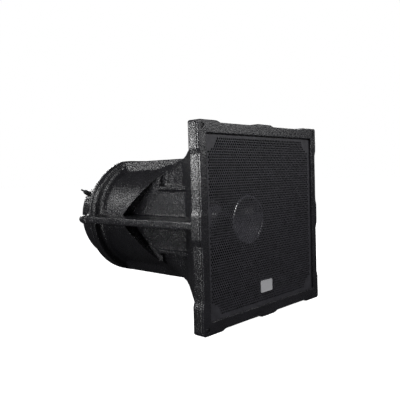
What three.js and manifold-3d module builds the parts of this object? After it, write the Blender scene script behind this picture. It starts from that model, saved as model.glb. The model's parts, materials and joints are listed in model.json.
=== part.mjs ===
// All-weather horn loudspeaker: a moulded fibreglass body with a square mouth,
// a drum behind it with a ring at its rear, a 15-inch woofer bolted to the ring
// and a round high-frequency horn hanging on the same axis inside the mouth.
//
// Millimetres, +Z up.  The loudspeaker points along -Y.  Inside the main group
// the front plane is y = 0 and the horn axis is x = z = 0.  The main group is
// then lifted so that the origin is the middle of the pad it stands on.

import * as THREE from 'three';
import { ConvexGeometry } from 'three/addons/geometries/ConvexGeometry.js';
import { mergeVertices } from 'three/addons/utils/BufferGeometryUtils.js';
import Module from 'manifold-3d';

const wasm = await Module();
wasm.setup();

// ---------------------------------------------------------------- dimensions

const faceSide = 550; // the square front face; every outside size follows it
const faceHalf = faceSide / 2;
const wall = 6; // fibreglass wall
const gap = 0.3; // running and assembly clearance
const bigSides = 48; // facets round the drum, ring and cover
const midSides = 32; // facets round the woofer's parts
const smallSides = 24; // facets round the high-frequency parts
const boltSides = 8; // facets round bolt shanks and their holes

const frameDepth = 7; // front frame plate
const flangeDepth = 38; // front frame plus mouth flange
const edgeStep = 5; // depth of the shallow cut-outs along the flange edge
const openingHalfWidth = 0.446 * faceSide; // opening in the front frame
const openingHalfHeight = 0.437 * faceSide;
const grilleHalf = 251.5; // the grille is clamped behind the front frame
const grilleThickness = 1.5;
const gasketThickness = 2;
const pocketY = frameDepth + gap + grilleThickness + gasketThickness + 0.4;

const throatY = 0.42 * faceSide; // the flare meets the straight throat
const drumFrontY = 0.6 * faceSide;
const ringFrontY = 1.03 * faceSide;
const ringRearY = ringFrontY + 20;
const ringRadius = 0.364 * faceSide;
const ringFlatZ = 0.356 * faceSide; // the ring and the cover are flat at top and bottom
const drumFrontRadius = 0.315 * faceSide;
const drumRearRadius = 0.312 * faceSide;
const coveFrontY = 0.985 * faceSide; // the drum spreads into the ring from here
const coveRearRadius = 0.33 * faceSide;
const ridgeHalfWidth = 0.12 * faceSide; // raised band along the top and the bottom
const ridgeHalfHeight = 0.347 * faceSide;

const panelX = 0.232 * faceSide; // flat side panels, from the axis
const panelHalfHeight = 0.19 * faceSide;
const panelRearY = 0.58 * faceSide; // the panel narrows behind this line
const lipHeight = 12;
const lipProud = 6;

const finX = 0.43 * faceSide; // outer face of the side fins
const finHalfThickness = 0.021 * faceSide;
const earHalfHeight = 13.5;
const earX = finX + 2;
const earBoltX = finX - 15;

const wooferOpening = 172; // radius of the hole in the ring
const rebateRadius = 192;
const rebateDepth = 8.4;
const basketRadius = 191;
const coverBoltCircle = 184; // these bolts clamp cover, woofer and ring together
const coverFlangeRearY = 1.104 * faceSide;
const coverEndY = 1.29 * faceSide;
const coneRadius = 150;
const coilRadius = 38;

const hfMouthY = 64; // front of the high-frequency horn's rim
const hfRadius = 72.5;
const hfThroatRadius = 19;
const bracketY = 200;
const bracketThickness = 6;

const bracketScrewX = 105;

const boltRadius = 3; // bolts of the front frame and the rear cover
const boltHole = boltRadius + gap;
const earBoltRadius = 4;
const earBoltHole = earBoltRadius + gap;
const screwRadius = 2.5;
const screwHole = screwRadius + gap;
const coverBoltCount = 8;
const coverBoltStart = Math.PI / coverBoltCount;

const glandAngle = THREE.MathUtils.degToRad(152); // round the axis, from +X towards +Z
const glandY = 1.2 * faceSide;

// ----------------------------------------------------------------- materials

function finish(color, roughness, metalness) {
  return new THREE.MeshStandardMaterial({ color, roughness, metalness });
}

const finishes = {
  fibreglass: () => finish(0x2b2b2d, 0.62, 0),
  frame: () => finish(0x38383a, 0.55, 0),
  paintedSteel: () => finish(0x1c1c1e, 0.45, 0.6),
  steel: () => finish(0x8d9093, 0.35, 1),
  blackSteel: () => finish(0x232325, 0.4, 0.9),
  aluminium: () => finish(0xc9cacc, 0.35, 1),
  rubber: () => finish(0x161617, 0.85, 0),
  paper: () => finish(0x1f1e1d, 0.9, 0),
  ferrite: () => finish(0x3a3a3b, 0.7, 0.1),
  gloss: () => finish(0x141415, 0.2, 0),
  felt: () => finish(0x55534f, 0.98, 0),
  board: () => finish(0x2f5a3a, 0.6, 0),
  copper: () => finish(0xb06a3b, 0.4, 1),
};

// ------------------------------------------------------------ solids helpers

// A closed geometry becomes a manifold solid with its faces pointing out.
function solidOf(geometry) {
  const bare = geometry.clone();
  bare.deleteAttribute('normal');
  bare.deleteAttribute('uv');
  const merged = mergeVertices(bare, 1e-4);
  const vertProperties = new Float32Array(merged.attributes.position.array);
  const triVerts = new Uint32Array(merged.index.array);
  const corners = [0, 1, 2].map(() => new THREE.Vector3());
  let volume = 0;
  for (let t = 0; t < triVerts.length; t += 3) {
    corners.forEach((corner, k) => corner.fromArray(vertProperties, 3 * triVerts[t + k]));
    volume += corners[0].dot(corners[1].cross(corners[2]));
  }
  if (volume < 0) {
    for (let t = 0; t < triVerts.length; t += 3) {
      [triVerts[t], triVerts[t + 1]] = [triVerts[t + 1], triVerts[t]];
    }
  }
  return new wasm.Manifold(new wasm.Mesh({ numProp: 3, vertProperties, triVerts }));
}

function geometryOf(solid) {
  const mesh = solid.getMesh();
  const geometry = new THREE.BufferGeometry();
  geometry.setAttribute('position', new THREE.BufferAttribute(mesh.vertProperties, 3));
  geometry.setIndex(new THREE.BufferAttribute(mesh.triVerts, 1));
  geometry.computeVertexNormals();
  return geometry;
}

function block(x, y, z) {
  const geometry = new THREE.BoxGeometry(x[1] - x[0], y[1] - y[0], z[1] - z[0]);
  geometry.translate((x[0] + x[1]) / 2, (y[0] + y[1]) / 2, (z[0] + z[1]) / 2);
  return solidOf(geometry);
}

// A round (or six-sided) bar along Y.
function bar(radius, yFrom, yTo, x = 0, z = 0, sides = 24) {
  const geometry = new THREE.CylinderGeometry(radius, radius, yTo - yFrom, sides);
  geometry.translate(x, (yFrom + yTo) / 2, z);
  return solidOf(geometry);
}

// A turned piece round the Y axis; the profile is a closed list of [radius, y].
function turned(profile, sides = midSides) {
  const points = profile.map(([radius, y]) => new THREE.Vector2(radius, y));
  points.push(points[0].clone());
  return solidOf(new THREE.LatheGeometry(points, sides));
}

function washerRing(innerRadius, outerRadius, yFrom, yTo, sides = midSides) {
  const inner = [[innerRadius, yTo], [innerRadius, yFrom]];
  const outer = [[outerRadius, yFrom], [outerRadius, yTo]];
  return turned([...inner, ...outer], sides);
}

// A flat outline in the XZ plane, given thickness along Y.
function slab(shape, yFrom, yTo, curveSegments = 8) {
  const options = { depth: yTo - yFrom, bevelEnabled: false, curveSegments };
  const geometry = new THREE.ExtrudeGeometry(shape, options);
  geometry.rotateX(Math.PI / 2);
  geometry.translate(0, yTo, 0);
  return solidOf(geometry);
}

// A lofted duct of rounded rectangles: a cylinder whose rows are reshaped, one
// row for each station { y, w, h, r } (half width, half height, corner radius).
const cornerSteps = 6;
function loft(stations) {
  const sides = 4 * cornerSteps;
  const geometry = new THREE.CylinderGeometry(1, 1, 1, sides, stations.length - 1);
  const place = geometry.attributes.position;
  for (let v = 0; v < place.count; v += 1) {
    const row = Math.round((0.5 - place.getY(v)) * (stations.length - 1));
    const { y, w, h, r } = stations[row];
    const spoke = Math.hypot(place.getX(v), place.getZ(v));
    const turn = Math.atan2(place.getZ(v), place.getX(v)) / (2 * Math.PI);
    const index = ((Math.round(turn * sides) % sides) + sides) % sides;
    const quarter = Math.floor(index / cornerSteps);
    const along = (index % cornerSteps) / (cornerSteps - 1);
    const angle = (quarter + along) * Math.PI / 2;
    const signX = quarter === 0 || quarter === 3 ? 1 : -1;
    const signZ = quarter < 2 ? 1 : -1;
    const x = signX * (w - r) + r * Math.cos(angle);
    const z = signZ * (h - r) + r * Math.sin(angle);
    place.setXYZ(v, spoke * x, y, spoke * z);
  }
  return solidOf(geometry);
}

// Stations are written as fractions of the front face.
function stationsOf(rows) {
  return rows.map((row) => {
    const [y, w, h, r] = row.map((share) => share * faceSide);
    return { y, w, h, r };
  });
}

// A hexagon-headed or round-headed bolt whose shank points along +Y from y = 0.
function bolt({ headRadius, headHeight, shankRadius, shankLength, headSides = 6, socket = 0 }) {
  let piece = bar(headRadius, -headHeight, 0, 0, 0, headSides);
  piece = piece.add(bar(shankRadius, -1, shankLength, 0, 0, boltSides));
  if (socket > 0) {
    piece = piece.subtract(bar(socket, -headHeight - 1, -headHeight + 0.6 * headHeight, 0, 0, 6));
  }
  return piece;
}

// --------------------------------------------------------------- flange edge

// The square outline of the flange and the front frame.  Each side stands proud
// at its two corners and at its middle pad, and is stepped back in between.
function flangeOutline() {
  const cornerEnd = faceHalf - 0.132 * faceSide;
  const cornerSlopeEnd = faceHalf - 0.158 * faceSide;
  const padEnd = 0.055 * faceSide;
  const padSlopeEnd = 0.083 * faceSide;
  const low = faceHalf - edgeStep;
  const cornerRadius = 6;
  const side = [
    [faceHalf - cornerRadius, faceHalf],
    [cornerEnd, faceHalf],
    [cornerSlopeEnd, low],
    [padSlopeEnd, low],
    [padEnd, faceHalf],
  ];
  const wholeSide = [...side, ...side.map(([s, d]) => [-s, d]).reverse()];
  const points = [];
  const centre = new THREE.Vector2(0, 0);
  for (let quarter = 0; quarter < 4; quarter += 1) {
    const turn = quarter * Math.PI / 2;
    wholeSide.forEach(([s, d]) => points.push(new THREE.Vector2(s, d).rotateAround(centre, turn)));
    const middle = faceHalf - cornerRadius * (1 - Math.SQRT1_2);
    points.push(new THREE.Vector2(-middle, middle).rotateAround(centre, turn));
  }
  return new THREE.Shape(points);
}

function squareCorners(distance) {
  return [[1, 1], [-1, 1], [-1, -1], [1, -1]].map(([x, z]) => [x * distance, z * distance]);
}

const frameBoltPlace = faceHalf - 15.4;

// ----------------------------------------------------------------- horn body

const flareStations = stationsOf([
  [0.06, 0.468, 0.441, 0.03],
  [0.15, 0.402, 0.414, 0.03],
  [0.25, 0.322, 0.388, 0.03],
  [0.35, 0.244, 0.364, 0.03],
  [0.42, 0.196, 0.349, 0.03],
  [0.5, 0.186, 0.347, 0.1],
  [0.57, 0.184, 0.346, 0.16],
  [0.62, 0.192, 0.345, 0.17],
]);

const ductStations = stationsOf([
  [0.01, 0.447, 0.43, 0.02],
  [0.04, 0.438, 0.424, 0.02],
  [0.15, 0.375, 0.4, 0.02],
  [0.25, 0.303, 0.376, 0.02],
  [0.35, 0.227, 0.352, 0.02],
  [0.42, 0.182, 0.337, 0.02],
  [0.5, 0.173, 0.335, 0.09],
  [0.58, 0.17, 0.334, 0.15],
  [0.84, 0.216, 0.322, 0.21],
  [0.92, 0.3, 0.3, 0.299],
  [1.03, 0.3, 0.3, 0.299],
]);

function drum() {
  let piece = turned([
    [0, drumFrontY],
    [drumFrontRadius, drumFrontY],
    [drumRearRadius, coveFrontY],
    [coveRearRadius, ringFrontY + 1],
    [0, ringFrontY + 1],
  ], bigSides);
  const beyond = ringRadius + 20;
  for (const side of [1, -1]) {
    const corners = [];
    for (const up of [1, -1]) {
      corners.push(...notchCorners(side, up, beyond));
    }
    piece = piece.subtract(solidOf(new ConvexGeometry(corners)));
  }
  return piece;
}

// A wedge-shaped notch in each side of the drum, narrow at the rear and cut
// deeper at the front.  The side panel stands in it, a little clear of its walls.
function notchCorners(side, up, beyond) {
  const outerX = side * beyond;
  const rearZ = up * finHalfThickness;
  const frontZ = up * 0.265 * faceSide;
  const floorFrontX = side * 0.2 * faceSide;
  return [
    [side * panelX, 0.835, rearZ],
    [outerX, 0.8, rearZ],
    [floorFrontX, 0.6, frontZ],
    [floorFrontX, 0.45, frontZ],
    [outerX, 0.36, frontZ],
  ].map(([x, y, z]) => new THREE.Vector3(x, y * faceSide, z));
}

// The raised bands that run from the throat back to the ring, and the hollow
// inside them.
function ridges() {
  const heights = [-ridgeHalfHeight, ridgeHalfHeight];
  return block([-ridgeHalfWidth, ridgeHalfWidth], [drumFrontY - 60, ringFrontY + 1], heights);
}

function ridgeHollow() {
  const across = [wall - ridgeHalfWidth, ridgeHalfWidth - wall];
  const heights = [wall - ridgeHalfHeight, ridgeHalfHeight - wall];
  return block(across, [drumFrontY + wall, ringFrontY - wall], heights);
}

// The parts of a ring that stand above or below its flats.
function ringCaps(yFrom, yTo) {
  const across = [-ringRadius, ringRadius];
  const beyond = ringRadius + 5;
  return block(across, [yFrom, yTo], [ringFlatZ, beyond])
    .add(block(across, [yFrom, yTo], [-beyond, -ringFlatZ]));
}

// The flat side panels run from the flare into the notches of the drum, where
// they narrow to a point, with a lip along their upper and lower edges.
function sidePanels() {
  const panelFrontY = 0.34 * faceSide;
  const shoulderHalfHeight = 0.208 * faceSide;
  const corners = [];
  for (const x of [-panelX, panelX]) {
    for (const up of [1, -1]) {
      corners.push(new THREE.Vector3(x, panelRearY, up * shoulderHalfHeight));
      corners.push(new THREE.Vector3(x, 0.832 * faceSide, up * finHalfThickness));
    }
  }
  let piece = solidOf(new ConvexGeometry(corners));
  const heights = [-panelHalfHeight, panelHalfHeight];
  piece = piece.add(block([-panelX, panelX], [panelFrontY, panelRearY + 1], heights));
  const lipX = panelX + lipProud;
  for (const side of [1, -1]) {
    const edge = side * panelHalfHeight;
    const inner = side * (panelHalfHeight - lipHeight);
    const lipHeights = [Math.min(edge, inner), Math.max(edge, inner)];
    piece = piece.add(block([-lipX, lipX], [panelFrontY, panelRearY], lipHeights));
  }
  return piece;
}

function sideFins() {
  const fin = [-finHalfThickness, finHalfThickness];
  const start = flangeDepth - 2;
  const ear = [-earHalfHeight, earHalfHeight];
  return block([-finX, finX], [start, ringRearY], fin)
    .add(block([-earX, earX], [ringFrontY, ringRearY], ear));
}

function hornBody() {
  let piece = slab(flangeOutline(), frameDepth + gap, flangeDepth);
  piece = piece.add(loft(flareStations));
  piece = piece.add(drum());
  piece = piece.add(ridges());
  piece = piece.add(sidePanels());
  piece = piece.add(sideFins());
  const ring = bar(ringRadius, ringFrontY, ringRearY, 0, 0, bigSides);
  piece = piece.add(ring.subtract(ringCaps(ringFrontY - 1, ringRearY + 1)));

  const pocket = [-grilleHalf - 0.5, grilleHalf + 0.5];
  piece = piece.subtract(block(pocket, [0, pocketY], pocket));
  piece = piece.subtract(loft(ductStations));
  piece = piece.subtract(ridgeHollow());
  piece = piece.subtract(bar(wooferOpening, ringFrontY - 2, ringRearY + 1, 0, 0, bigSides));
  piece = piece.subtract(bar(rebateRadius, ringRearY - rebateDepth, ringRearY + 1, 0, 0, bigSides));

  const bossY = bracketY + bracketThickness + gap;
  for (const side of [1, -1]) {
    const reach = [94, 120].map((x) => side * x).sort((a, b) => a - b);
    piece = piece.add(block(reach, [bossY, bossY + 20], [-20, 20]));
  }
  return drillBody(piece);
}

// Holes for the fasteners that screw into the body.
function drillBody(body) {
  let piece = body;
  for (const [x, z] of squareCorners(frameBoltPlace)) {
    piece = piece.subtract(bar(boltHole, 0, 31, x, z, boltSides));
  }
  for (const [x, z] of circlePlaces(coverBoltCircle, coverBoltCount, coverBoltStart)) {
    piece = piece.subtract(bar(boltHole, ringRearY - 16, ringRearY + 1, x, z, boltSides));
  }
  for (const side of [1, -1]) {
    const earHole = bar(earBoltHole, ringRearY - 40, ringRearY + 1, side * earBoltX, 0, boltSides);
    piece = piece.subtract(earHole);
    piece = piece.subtract(bar(screwHole, bracketY, bracketY + 22, side * bracketScrewX, 0, boltSides));
  }
  return piece;
}

function circlePlaces(radius, count, start) {
  const places = [];
  for (let k = 0; k < count; k += 1) {
    const angle = start + k * 2 * Math.PI / count;
    places.push([radius * Math.cos(angle), radius * Math.sin(angle)]);
  }
  return places;
}

// ------------------------------------------------------ front frame and grille

function frontFrame() {
  let piece = slab(flangeOutline(), 0, frameDepth);
  const across = [-openingHalfWidth, openingHalfWidth];
  const upright = [-openingHalfHeight, openingHalfHeight];
  piece = piece.subtract(block(across, [-1, frameDepth + 1], upright));
  for (const [x, z] of squareCorners(frameBoltPlace)) {
    piece = piece.subtract(bar(boltHole, -1, frameDepth + 1, x, z, boltSides));
    piece = piece.subtract(bar(6.3, -1, 4.5, x, z, 16));
  }
  return piece;
}

function frameBolt() {
  const head = { headRadius: 5.8, headHeight: 3.4, headSides: 12, socket: 2.9 };
  return bolt({ ...head, shankRadius: boltRadius, shankLength: 25 });
}

const grilleFrontY = frameDepth + gap;

function grille() {
  const half = [-grilleHalf, grilleHalf];
  return block(half, [grilleFrontY, grilleFrontY + grilleThickness], half);
}

function grilleGasket() {
  const yFront = grilleFrontY + grilleThickness + 0.2;
  const yRear = yFront + gasketThickness;
  const outer = grilleHalf - 0.5;
  const inner = outer - 8;
  const piece = block([-outer, outer], [yFront, yRear], [-outer, outer]);
  return piece.subtract(block([-inner, inner], [0, 50], [-inner, inner]));
}

// A plain plate fixed to the grille at its lower middle.
function badge() {
  const width = 0.1 * faceSide;
  const height = 0.062 * faceSide;
  return slab(roundedRectangle(width, height, 4), grilleFrontY - 1.9, grilleFrontY - 0.2);
}

function roundedRectangle(width, height, radius) {
  const x = width / 2 - radius;
  const z = height / 2 - radius;
  const shape = new THREE.Shape();
  shape.absarc(x, z, radius, 0, Math.PI / 2);
  shape.absarc(-x, z, radius, Math.PI / 2, Math.PI);
  shape.absarc(-x, -z, radius, Math.PI, 1.5 * Math.PI);
  shape.absarc(x, -z, radius, 1.5 * Math.PI, 2 * Math.PI);
  return shape;
}

// ------------------------------------------------------ high-frequency section

// A flared horn with a rolled rim at its mouth and a small flange at its throat.
function hfHorn() {
  const throatY = bracketY - gap;
  const flareY = hfMouthY + 6; // just behind the rolled rim
  const mouth = hfRadius - 8;
  const shellThickness = 3;
  const steps = 5;
  const inside = [];
  const outside = [];
  for (let k = 0; k <= steps; k += 1) {
    const t = k / steps;
    const radius = hfThroatRadius * (mouth / hfThroatRadius) ** (1 - t);
    const y = flareY + (throatY - flareY) * t;
    inside.push([radius, y]);
    if (k > 0 && k < steps) {
      outside.unshift([radius + shellThickness, y]);
    }
  }
  const throatFlange = [
    [hfThroatRadius + 21, throatY],
    [hfThroatRadius + 21, throatY - 5],
    [hfThroatRadius + shellThickness + 1.5, throatY - 5],
  ];
  const rim = new THREE.Path();
  rim.absarc(hfRadius - 4, hfMouthY + 4.5, 4.4, Math.PI * 0.75, -Math.PI * 0.75, true);
  const rolledRim = rim.getPoints(4).map((p) => [p.x, p.y]);
  return turned([...inside, ...throatFlange, ...outside, ...rolledRim], 32);
}

function hfBracket() {
  const yRear = bracketY + bracketThickness;
  let piece = bar(50, bracketY, yRear, 0, 0, smallSides);
  piece = piece.add(block([-116, 116], [bracketY, yRear], [-15, 15]));
  piece = piece.subtract(bar(hfThroatRadius + 1, bracketY - 1, yRear + 1, 0, 0, 32));
  for (const side of [1, -1]) {
    piece = piece.subtract(bar(screwHole, bracketY - 1, yRear + 1, side * bracketScrewX, 0, boltSides));
  }
  return piece;
}

const hfPlateY = bracketY + bracketThickness + gap;
const hfMagnetY = hfPlateY + 10;
const hfYokeY = hfMagnetY + 24;
const hfCapY = hfYokeY + 8;

function hfFrontPlate() {
  return washerRing(hfThroatRadius + 1, 54, hfPlateY, hfMagnetY - gap, smallSides);
}

function hfMagnet() {
  return washerRing(36, 58, hfMagnetY, hfYokeY - gap, smallSides);
}

function hfYoke() {
  const bore = hfThroatRadius + 1;
  return turned([
    [bore, hfMagnetY],
    [32, hfMagnetY],
    [32, hfYokeY],
    [54, hfYokeY],
    [54, hfCapY - gap],
    [bore + 6, hfCapY - gap],
  ], smallSides);
}

function hfDiaphragm() {
  const rimY = hfCapY + 3;
  return domeShell(33, rimY, 10, 0.8, smallSides);
}

// A thin dome round the Y axis, bulging towards +Y by rise.
function domeShell(radius, yRim, rise, thickness, sides) {
  const steps = 4;
  const back = [];
  const front = [];
  for (let k = 0; k <= steps; k += 1) {
    const t = k / steps;
    const bulge = rise * (1 - t * t);
    back.push([radius * t, yRim + bulge]);
    front.unshift([radius * t, yRim + bulge - thickness]);
  }
  return turned([...back, ...front], sides);
}

// The ring that clamps the diaphragm's edge to the yoke.
function hfDiaphragmRing() {
  return washerRing(33.4, 45.6, hfCapY, hfCapY + 4, smallSides);
}

function hfRearCap() {
  return turned([
    [46, hfCapY],
    [54, hfCapY],
    [54, hfCapY + 18],
    [46, hfCapY + 27],
    [0, hfCapY + 27],
    [0, hfCapY + 22],
    [44, hfCapY + 22],
    [46, hfCapY + 17],
  ], smallSides);
}

function bracketScrew() {
  return bolt({ headRadius: 5, headHeight: 4, shankRadius: screwRadius, shankLength: 20, headSides: 6 });
}

// -------------------------------------------------------------------- woofer

const basketY = ringRearY - rebateDepth + 2.4; // front of the basket flange
const basketFlange = 5.8;
const basketRearY = basketY + 80;
const topPlateY = basketRearY + 4 + gap;
const magnetY = topPlateY + 8 + gap;
const backPlateY = magnetY + 20 + gap;
const coneFrontY = basketY;
const coneRearY = basketY + 56;

function wooferGasket() {
  let piece = washerRing(175, 190, ringRearY - rebateDepth + 0.2, basketY - 0.2);
  for (const [x, z] of circlePlaces(coverBoltCircle, coverBoltCount, coverBoltStart)) {
    piece = piece.subtract(bar(boltHole, ringRearY - 20, ringRearY, x, z, boltSides));
  }
  return piece;
}

function wooferBasket() {
  const flangeRear = basketY + basketFlange;
  let piece = turned([
    [163, basketY],
    [basketRadius, basketY],
    [basketRadius, flangeRear],
    [168, flangeRear],
    [158, basketY + 20],
    [92, basketRearY - 6],
    [84, basketRearY],
    [84, basketRearY + 4],
    [coilRadius + 4, basketRearY + 4],
    [coilRadius + 4, basketRearY],
    [72, basketRearY],
    [72, basketRearY - 14],
    [79, basketRearY - 14],
    [152, basketY + 17],
  ], midSides);
  for (let k = 0; k < 6; k += 1) {
    piece = piece.subtract(basketWindow(k * Math.PI / 3));
  }
  for (const [x, z] of circlePlaces(coverBoltCircle, coverBoltCount, coverBoltStart)) {
    piece = piece.subtract(bar(boltHole, basketY - 1, basketY + 10, x, z, boltSides));
  }
  return piece;
}

// The opening between two spokes of the basket.
function basketWindow(middle) {
  const halfAngle = THREE.MathUtils.degToRad(21);
  const shape = new THREE.Shape();
  shape.absarc(0, 0, 151, middle - halfAngle, middle + halfAngle, false);
  shape.absarc(0, 0, 92, middle + halfAngle, middle - halfAngle, true);
  return slab(shape, basketY + basketFlange + 4, basketRearY + 10, 3);
}

// A half-round rubber roll between the cone and the basket.
function wooferSurround() {
  const lipFront = basketY - 1.9;
  const lipRear = basketY - gap;
  const middle = (coneRadius + 168) / 2;
  const roll = 9;
  const steps = 5;
  const front = [];
  const rear = [];
  for (let k = 0; k <= steps; k += 1) {
    const angle = Math.PI * k / steps;
    front.push([middle - roll * Math.cos(angle), lipFront - roll * Math.sin(angle)]);
    rear.unshift([middle - (roll - 1.5) * Math.cos(angle), lipRear - (roll - 0.4) * Math.sin(angle)]);
  }
  return turned([[143, lipFront], ...front, [174, lipFront], [174, lipRear], ...rear, [143, lipRear]]);
}

function wooferCone() {
  const sheet = 1.6;
  return turned([
    [coneRadius, coneFrontY],
    [coilRadius + 1.5, coneRearY],
    [coilRadius + 1.5, coneRearY + sheet],
    [coilRadius + 4, coneRearY + sheet],
    [coneRadius, coneFrontY + 2.2],
  ]);
}

function dustCap() {
  const rimRadius = 50;
  const coneAtRim = coneRearY - (rimRadius - coilRadius - 1.5) / (coneRadius - coilRadius - 1.5)
    * (coneRearY - coneFrontY);
  const steps = 4;
  const front = [];
  const rear = [];
  for (let k = 0; k <= steps; k += 1) {
    const t = k / steps;
    const bulge = 16 * (1 - t * t);
    front.push([rimRadius * t, coneAtRim - 1.6 - bulge]);
    rear.unshift([rimRadius * t, coneAtRim - 0.6 - bulge]);
  }
  return turned([...front, ...rear], smallSides);
}

function voiceCoil() {
  const former = coilRadius - 0.3;
  const windingY = topPlateY - 2;
  return turned([
    [former - 0.6, coneRearY - 8],
    [former + 0.4, coneRearY - 8],
    [former + 0.4, windingY],
    [former + 1, windingY],
    [former + 1, windingY + 14],
    [former - 0.6, windingY + 14],
  ]);
}

// The corrugated cloth disc that centres the coil.
function spider() {
  const innerRadius = coilRadius + 0.6;
  const outerRadius = 77;
  const seatY = basketRearY - 14 - gap;
  const steps = 9;
  const front = [];
  const rear = [];
  for (let k = 0; k <= steps; k += 1) {
    const t = k / steps;
    const radius = innerRadius + (outerRadius - innerRadius) * t;
    const wave = k === 0 || k === steps ? 0 : 1.6 * (k % 2 ? 1 : -1);
    front.push([radius, seatY - 1.1 + wave]);
    rear.unshift([radius, seatY + wave]);
  }
  return turned([...front, ...rear]);
}

function topPlate() {
  return washerRing(coilRadius + 1.6, 75, topPlateY, topPlateY + 8);
}

function wooferMagnet() {
  return washerRing(coilRadius + 8, 80, magnetY, magnetY + 20);
}

function poleAndBackPlate() {
  const pole = coilRadius - 1.6;
  return turned([
    [0, topPlateY],
    [pole, topPlateY],
    [pole, backPlateY],
    [74, backPlateY],
    [74, backPlateY + 6],
    [70, backPlateY + 8],
    [0, backPlateY + 8],
  ]);
}

const terminalY = [basketY + 40, basketY + 52];
const terminalZ = [-146, -134];

// The connector block on the basket's lowest spoke.
function wooferTerminal() {
  return block([-7, 7], terminalY, terminalZ);
}

// ---------------------------------------------------------------- rear cover

const coverFrontY = ringRearY + 3.4;

function coverGasket() {
  let piece = washerRing(174, ringRadius - 0.5, ringRearY + 0.2, coverFrontY - 0.2, bigSides);
  piece = piece.subtract(ringCaps(ringRearY, coverFrontY));
  for (const [x, z] of circlePlaces(coverBoltCircle, coverBoltCount, coverBoltStart)) {
    piece = piece.subtract(bar(boltHole, ringRearY - 1, coverFrontY + 1, x, z, boltSides));
  }
  return piece;
}

function rearCover() {
  const outside = [
    [0.262, 1.29],
    [0.281, 1.283],
    [0.296, 1.263],
    [0.304, 1.235],
    [0.318, 1.115],
    [0.322, 1.104],
  ].map(([radius, y]) => [radius * faceSide, y * faceSide]);
  const inside = outside.slice(0, 5).map(([radius, y]) => [radius - wall, y - 0.75 * wall]).reverse();
  inside[inside.length - 1][1] = coverEndY - wall;
  let piece = turned([
    [0, coverEndY],
    ...outside,
    [ringRadius, coverFlangeRearY],
    [ringRadius, coverFrontY],
    [inside[0][0] + 1, coverFrontY],
    ...inside,
    [0, coverEndY - wall],
  ], bigSides);
  piece = piece.subtract(ringCaps(coverFrontY - 1, coverEndY));
  const ear = [-earHalfHeight, earHalfHeight];
  for (const side of [1, -1]) {
    const reach = [0.35 * faceSide, earBoltX].map((x) => side * x).sort((a, b) => a - b);
    piece = piece.add(block(reach, [coverFrontY, coverFlangeRearY], ear));
    piece = piece.add(bar(earHalfHeight, coverFrontY, coverFlangeRearY, side * earBoltX, 0, 32));
    const holeY = [coverFrontY - 1, coverFlangeRearY + 1];
    piece = piece.subtract(bar(earBoltHole, ...holeY, side * earBoltX, 0, boltSides));
  }
  for (const [x, z] of circlePlaces(coverBoltCircle, coverBoltCount, coverBoltStart)) {
    piece = piece.subtract(bar(boltHole, coverFrontY - 1, coverFlangeRearY + 1, x, z, boltSides));
  }
  for (const [x, z] of boardPlaces()) {
    piece = piece.add(bar(3.5, coverEndY - wall - 3, coverEndY - 1, x, z, boltSides));
  }
  return piece.subtract(glandHole());
}

function coverBolt() {
  const length = coverFlangeRearY - ringRearY + 15;
  const head = { headRadius: 5.4, headHeight: 4.2, headSides: 6 };
  return bolt({ ...head, shankRadius: boltRadius, shankLength: length });
}

function earBolt() {
  const length = coverFlangeRearY - ringRearY + 36;
  const head = { headRadius: 8, headHeight: 6.5, headSides: 6 };
  const washer = bar(10, -2, 0, 0, 0, 24);
  return bolt({ ...head, shankRadius: earBoltRadius, shankLength: length }).add(washer);
}

function dampingFelt() {
  const shape = new THREE.Shape();
  const from = THREE.MathUtils.degToRad(35);
  const to = THREE.MathUtils.degToRad(138);
  shape.absarc(0, 0, 160, from, to, false);
  shape.absarc(0, 0, 153, to, from, true);
  return slab(shape, coverFrontY + 24, coverFrontY + 52, 16);
}

// ---------------------------------------------------------- cable and crossover

// Places a piece built along +Y so that it points straight out from the axis at
// the gland's angle.
function atGland(solid) {
  const degrees = THREE.MathUtils.radToDeg(glandAngle);
  return solid.rotate([0, 0, -90]).rotate([0, -degrees, 0]).translate([0, glandY, 0]);
}

const coverWallRadius = 0.308 * faceSide;

function glandHole() {
  return atGland(bar(6.3, coverWallRadius - 30, coverWallRadius + 30, 0, 0, 24));
}

function cableGland() {
  let piece = bar(6, coverWallRadius - 16, coverWallRadius + 20, 0, 0, 20);
  piece = piece.add(bar(9.5, coverWallRadius + 1.6, coverWallRadius + 7, 0, 0, 6));
  piece = piece.add(bar(8.2, coverWallRadius + 6, coverWallRadius + 20, 0, 0, 20));
  piece = piece.add(turned([
    [0, coverWallRadius + 19],
    [8.2, coverWallRadius + 20],
    [7, coverWallRadius + 25],
    [5.4, coverWallRadius + 27],
    [0, coverWallRadius + 27],
  ], 20));
  piece = piece.subtract(bar(3.3, coverWallRadius - 20, coverWallRadius + 40, 0, 0, 16));
  return atGland(piece);
}

function glandNut() {
  let piece = bar(9.5, coverWallRadius - 15.5, coverWallRadius - 11, 0, 0, 6);
  piece = piece.subtract(bar(6.3, coverWallRadius - 20, coverWallRadius, 0, 0, 20));
  return atGland(piece);
}

function supplyCable() {
  return atGland(bar(3, coverWallRadius - 24, coverWallRadius + 40, 0, 0, boltSides));
}

const boardY = coverEndY - wall - 3 - gap;

function boardPlaces() {
  return [[-38, -118], [38, -118], [-38, -92], [38, -92]];
}

function crossoverBoard() {
  return block([-45, 45], [boardY - 2, boardY], [-123, -87]);
}

function crossoverCoil() {
  const y = boardY - 2 - gap;
  return washerRing(6, 15, y - 16, y, 28).translate([-26, 0, -105]);
}

function crossoverCapacitor(x) {
  const y = boardY - 2 - gap;
  return bar(7, y - 20, y, x, -105, 20);
}

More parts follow.
